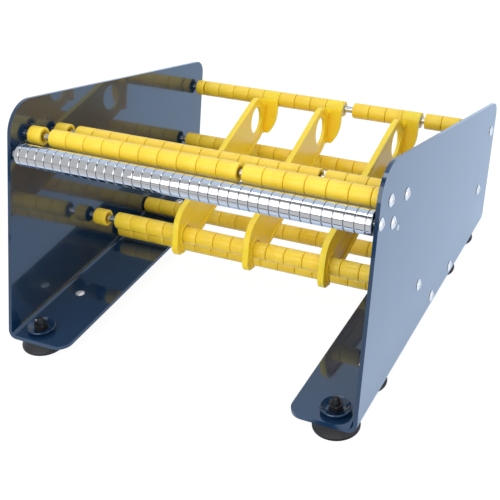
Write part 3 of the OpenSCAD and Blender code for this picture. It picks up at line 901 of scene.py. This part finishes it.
def choose(tree, flag, plain, special):
    """One shader where the flag is 0 and another where it is 1."""
    mix = tree.nodes.new("ShaderNodeMixShader")
    tree.links.new(flag, mix.inputs[0])
    tree.links.new(plain, mix.inputs[1])
    tree.links.new(special, mix.inputs[2])
    return mix.outputs[0]


# %% Floor
floor_size = 8
white = (1, 1, 1)
matt_grey = (0.8, 0.8, 0.8, 1)
grey_floor = (0.56, 0.57, 0.59)
blue_floor = (0.70, 0.86, 1.1)
shaded_floor_under = (0.44, 0.54, 0.70)
floor_seam = (0.05, 0.05, 0.06)
seam_way = (0.663, 0.749)
camera_share = 0.85

bpy.ops.mesh.primitive_plane_add(size=floor_size)
floor = bpy.context.object
floor.name = "studio_floor"
floor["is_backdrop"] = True
material = bpy.data.materials.new("studio_floor")
floor.data.materials.append(material)
material.use_nodes = True
tree = material.node_tree
tree.nodes.clear()
rays = tree.nodes.new("ShaderNodeLightPath").outputs
apart = take_apart(tree, object_place(tree))
matt = tree.nodes.new("ShaderNodeBsdfDiffuse")
matt.inputs["Color"].default_value = matt_grey

rear = inside(tree, apart["Y"], low=-0.22, high=5.0, soft=0.12)
mirrored = blend_colour(tree, rear, grey_floor, blue_floor)
right_part = times(tree, apart["X"], seam_way[0])
rear_part = times(tree, apart["Y"], seam_way[1])
across = math_node(tree, "SUBTRACT", right_part, rear_part)
seam = inside(tree, across, low=0.218, high=0.242, soft=0.006)
mirrored = blend_colour(tree, seam, mirrored, floor_seam)
# Painted shade: glossy rays see the floor darker under the device.
between_plates = inside(tree, apart["X"], low=-0.153, high=0.153, soft=0.02)
front_to_back = inside(tree, apart["Y"], low=-0.16, high=0.17, soft=0.03)
under = times(tree, between_plates, front_to_back)
mirrored = blend_colour(tree, under, mirrored, shaded_floor_under)

for_gloss = glow(tree, "ShaderNodeEmission", mirrored)
for_camera = glow(tree, "ShaderNodeEmission", white, strength=1.1)
seen = choose(tree, rays["Is Glossy Ray"], matt.outputs[0], for_gloss)
seen = choose(tree, times(tree, rays["Is Camera Ray"], camera_share), seen, for_camera)
tree.links.new(seen, tree.nodes.new("ShaderNodeOutputMaterial").inputs[0])
print("floor", floor_size, "m wide")

# %% [markdown]
# The room is plain white for the camera and lights the device evenly. Glossy rays see
# more: grey walls in front, light blue ones behind, a dark skirting where they meet the
# floor, and a dark gap high up in front. The roller draws that gap out into the dark
# line along its upper side.

# %% World
front_wall = (0.50, 0.51, 0.53)
rear_wall = (0.56, 0.66, 0.82)
gap_dark = (0.03, 0.03, 0.035)

world = bpy.data.worlds.new("bright_room")
scene.world = world
world.use_nodes = True
tree = world.node_tree
tree.nodes.clear()
rays = tree.nodes.new("ShaderNodeLightPath").outputs
view_way = tree.nodes.new("ShaderNodeTexCoord").outputs["Generated"]
apart = take_apart(tree, view_way)
forwards = times(tree, apart["Y"], -1.0)
climb = math_node(tree, "ARCTAN2", apart["Z"], forwards)
behind = inside(tree, forwards, low=-2.0, high=-0.05, soft=0.1)
walls = blend_colour(tree, behind, front_wall, rear_wall)
high_up = inside(tree, climb, low=radians(66), high=radians(77), soft=radians(1.5))
central = inside(tree, apart["X"], low=-0.40, high=0.6, soft=0.12)
gap = times(tree, high_up, central)
skirting = inside(tree, climb, low=radians(-3), high=radians(0.3), soft=radians(0.6))
dark_lines = math_node(tree, "MAXIMUM", gap, skirting)
mirrored = blend_colour(tree, dark_lines, walls, gap_dark)

for_gloss = glow(tree, "ShaderNodeBackground", mirrored)
for_light = glow(tree, "ShaderNodeBackground", white, strength=0.9)
for_camera = glow(tree, "ShaderNodeBackground", white)
seen = choose(tree, rays["Is Glossy Ray"], for_light, for_gloss)
seen = choose(tree, rays["Is Camera Ray"], seen, for_camera)
tree.links.new(seen, tree.nodes.new("ShaderNodeOutputWorld").inputs[0])
print("world:", world.name)

# %% Lamps
# Place and size in metres, and power in watts.
lamps = {
    "top_softbox": ((0.1, -0.1, 1.5), (1.4, 0.35), 4),
    "front_softbox": ((-0.35, -1.5, 0.95), (1.1, 1.4), 7.5),
    "fill_softbox": ((0.9, -1.6, 0.8), (0.8, 0.8), 6),
    "side_softbox": ((1.9, -0.2, 0.4), (1.0, 0.5), 4),
}
lit_point = Vector((0, 0, 0.1))
for name, (place, (width, height), watts) in lamps.items():
    lamp = bpy.data.lights.new(name, "AREA")
    lamp.shape = "RECTANGLE"
    lamp.size = width
    lamp.size_y = height
    lamp.energy = watts
    obj = bpy.data.objects.new(name, lamp)
    obj.location = place
    obj.rotation_euler = (lit_point - Vector(place)).to_track_quat("-Z", "Y").to_euler()
    scene.collection.objects.link(obj)

# The top one points straight down, in line with the roller, so that the roller mirrors
# it as one straight line.
scene.objects["top_softbox"].rotation_euler = (0, 0, 0)
print("lamps:", list(lamps))

# %% [markdown]
# ## Triangles
#
# The triangles of each shown piece are counted, and the piece with the most is named.

# %% Triangles per piece
import json

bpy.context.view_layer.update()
triangles = {o.name: sum(len(p.vertices) - 2 for p in o.data.polygons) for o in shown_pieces()}
print(len(triangles), "pieces,", sum(triangles.values()), "triangles")
print("the most in", max(triangles, key=triangles.get))
